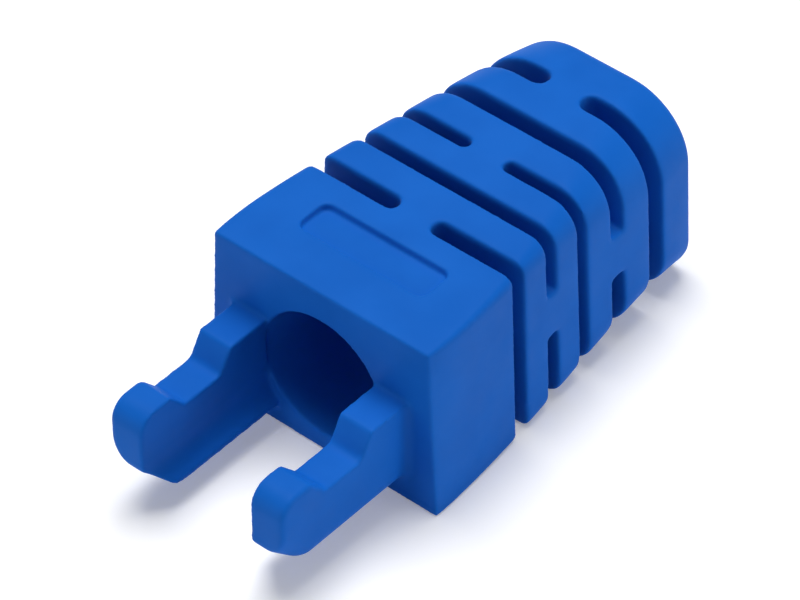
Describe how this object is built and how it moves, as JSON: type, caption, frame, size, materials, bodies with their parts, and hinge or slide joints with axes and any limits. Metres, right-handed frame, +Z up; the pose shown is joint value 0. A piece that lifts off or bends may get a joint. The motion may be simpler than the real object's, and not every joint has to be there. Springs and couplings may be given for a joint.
{
  "type": "rj45 strain relief boot",
  "caption": "Blue moulded strain relief boot for a modular plug: square block with a blank recess, slotted flexible tail, round cable bore and hooked arms.",
  "frame": {"origin": "on the axis of the cable bore, in the plane of the block's front face", "axes": "+X across the boot, +Y from the plug end to the cable end along the bore, +Z up to the side with the blank recess"},
  "size_m": [0.0136, 0.0286, 0.0104],
  "materials": {
    "body_plastic": "satin moulded flexible plastic, blue"
  },
  "bodies": {
    "root": {"boot": "body_plastic"}
  },
  "joints": []
}
